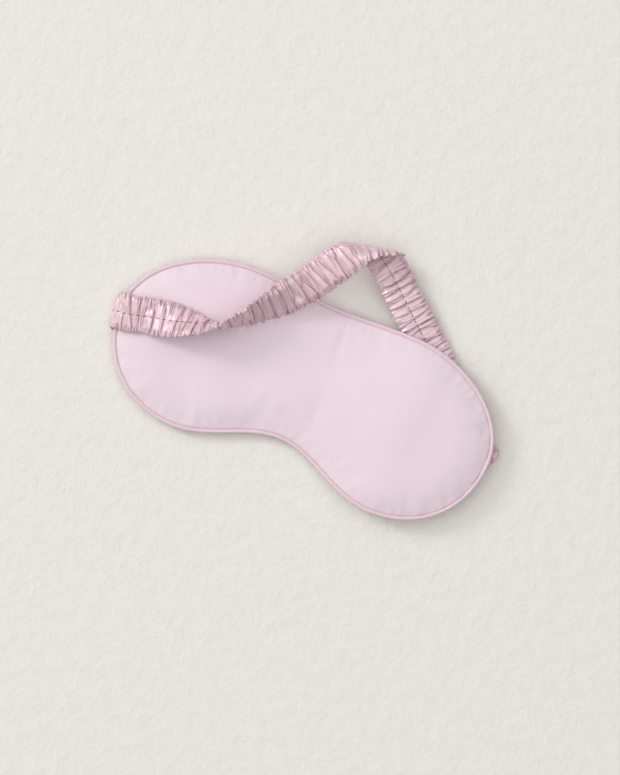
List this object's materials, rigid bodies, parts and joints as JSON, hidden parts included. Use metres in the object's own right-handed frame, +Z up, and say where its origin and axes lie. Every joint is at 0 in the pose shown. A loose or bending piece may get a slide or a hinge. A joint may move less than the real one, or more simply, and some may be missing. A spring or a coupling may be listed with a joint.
{
  "type": "sleep eye mask",
  "caption": "Padded satin sleep mask with a nose notch, piped rim and a gathered elastic head strap, lying flat with the strap loop beside it.",
  "frame": {"origin": "on the flat underside of the mask, at the middle of the nose bridge", "axes": "+X along the mask's length, towards the end where the strap passes underneath; +Y towards the brow edge; +Z up, out of the front panel"},
  "size_m": [0.2216, 0.1344, 0.03],
  "materials": {
    "front_satin": "pale pink satin with a soft sheen and a very fine weave",
    "back_satin": "pale pink satin, skin side",
    "piping_satin": "pink satin bias strip with a rolled sheen",
    "sleeve_satin": "pink satin, tightly gathered, with bright puffs and dark creases",
    "lining_cloth": "matt opaque blackout cloth",
    "wadding": "soft white polyester wadding",
    "elastic": "woven elastic with lengthwise ribs",
    "cotton_cord": "twisted cotton cord",
    "thread": "fine dark pink sewing thread, slightly glossy"
  },
  "bodies": {
    "mask": {"front_panel": "front_satin", "back_panel": "back_satin", "blackout_lining": "lining_cloth", "wadding": "wadding", "piping_cover": "piping_satin", "piping_cord": "cotton_cord", "rim_seam_thread": "thread", "left_end_tack": "thread", "right_end_tack": "thread", "strap_sleeve_left_end": "sleeve_satin", "strap_elastic_left_end": "elastic", "strap_seam_left_end": "thread", "strap_sleeve_right_end": "sleeve_satin", "strap_elastic_right_end": "elastic", "strap_seam_right_end": "thread"},
    "strap_arms": {"strap_sleeve_left_arm": "sleeve_satin", "strap_elastic_left_arm": "elastic", "strap_seam_left_arm": "thread", "strap_sleeve_right_arm": "sleeve_satin", "strap_elastic_right_arm": "elastic", "strap_seam_right_arm": "thread"},
    "strap_loop": {"strap_sleeve_tip": "sleeve_satin", "strap_elastic_tip": "elastic", "strap_seam_tip": "thread"}
  },
  "joints": [
    {"name": "strap_swing", "type": "hinge", "parent": "mask", "child": "strap_arms", "pos_m": [-0.054, 0.0043, 0.02], "axis": [0.9357, 0.3396, -0.0953], "range_deg": [0, 110]},
    {"name": "strap_stretch", "type": "slide", "parent": "strap_arms", "child": "strap_loop", "axis": [0.195, 0.9808, 0], "range_m": [0, 0.045], "stiffness_N_per_m": 60}
  ]
}
